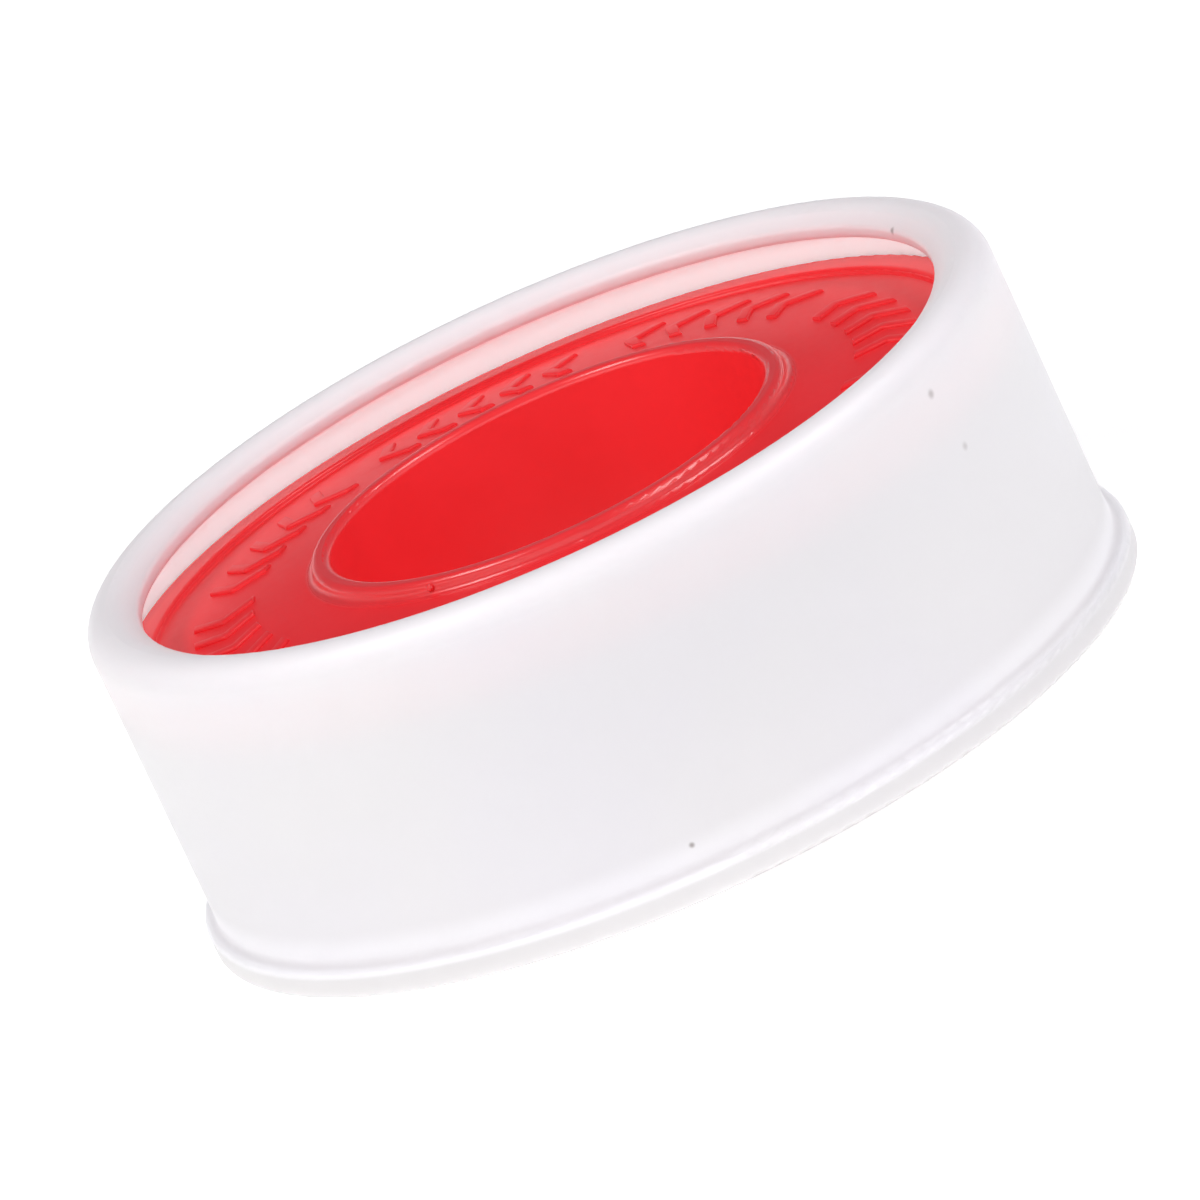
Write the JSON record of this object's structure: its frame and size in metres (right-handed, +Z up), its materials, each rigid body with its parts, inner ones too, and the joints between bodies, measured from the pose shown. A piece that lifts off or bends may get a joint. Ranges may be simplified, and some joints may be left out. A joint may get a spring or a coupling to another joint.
{
  "type": "thread seal tape roll",
  "caption": "Red spool of white thread seal tape with a raised flange border and bore collar, under a round white lift-off case with an inward lip and a foot.",
  "frame": {"origin": "centre of the base, on the surface that the roll stands on", "axes": "+Z up along the spool's axis, from the foot to the lip; the picture looks roughly along +Y from above"},
  "size_m": [0.0514, 0.0514, 0.0184],
  "materials": {
    "case_plastic": "satin moulded polypropylene, slightly translucent",
    "spool_plastic": "satin moulded polypropylene",
    "tape": "matt, unsintered film"
  },
  "bodies": {
    "spool": {"spool": "spool_plastic", "tape_winding": "tape"},
    "outer_turn": {"tape_outer_turn": "tape"},
    "case": {"case": "case_plastic"}
  },
  "joints": [
    {"name": "case_turn", "type": "hinge", "parent": "spool", "child": "outer_turn", "pos_m": [0, 0, 0], "axis": [0, 0, 1], "continuous": true},
    {"name": "case_lift", "type": "slide", "parent": "outer_turn", "child": "case", "axis": [0, 0, 1], "range_m": [0, 0.02]}
  ]
}
